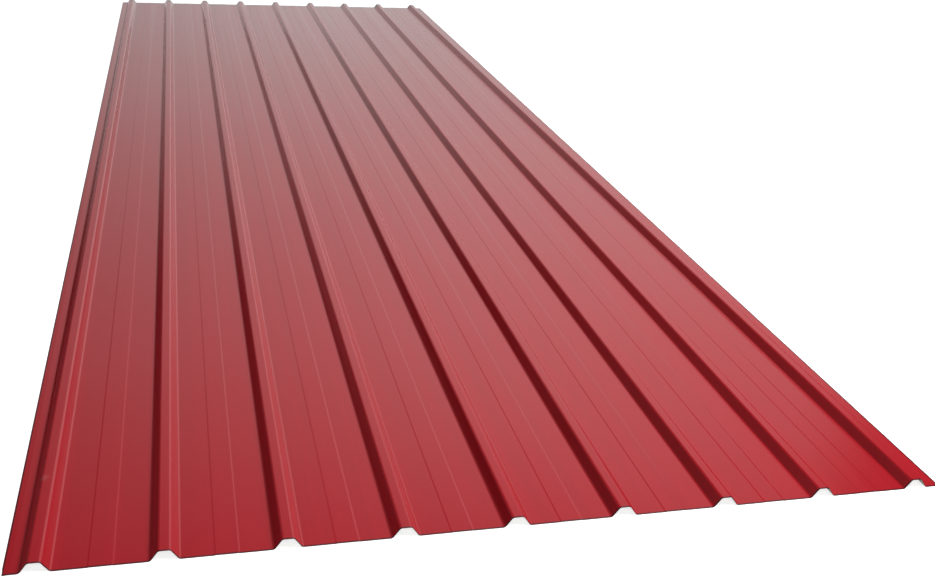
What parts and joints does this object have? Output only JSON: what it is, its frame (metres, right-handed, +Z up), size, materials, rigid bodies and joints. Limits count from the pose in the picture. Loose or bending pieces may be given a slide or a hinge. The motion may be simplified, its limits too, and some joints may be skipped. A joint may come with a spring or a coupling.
{
  "type": "profiled metal roofing sheet",
  "caption": "Long prepainted steel sheet with low trapezoid ribs, wide pans with a shallow raised strip, and a narrow lap on each side, for cladding a roof or wall.",
  "frame": {"origin": "middle of the sheet in plan, on the level that the undersides of the pans lie on", "axes": "+X across the ribs towards the plain side lap, +Y along the ribs, +Z up through the painted face"},
  "size_m": [1.1706, 3.5, 0.0135],
  "materials": {
    "red_prepaint": "satin"
  },
  "bodies": {
    "root": {"profiled_sheet": "red_prepaint"}
  },
  "joints": []
}
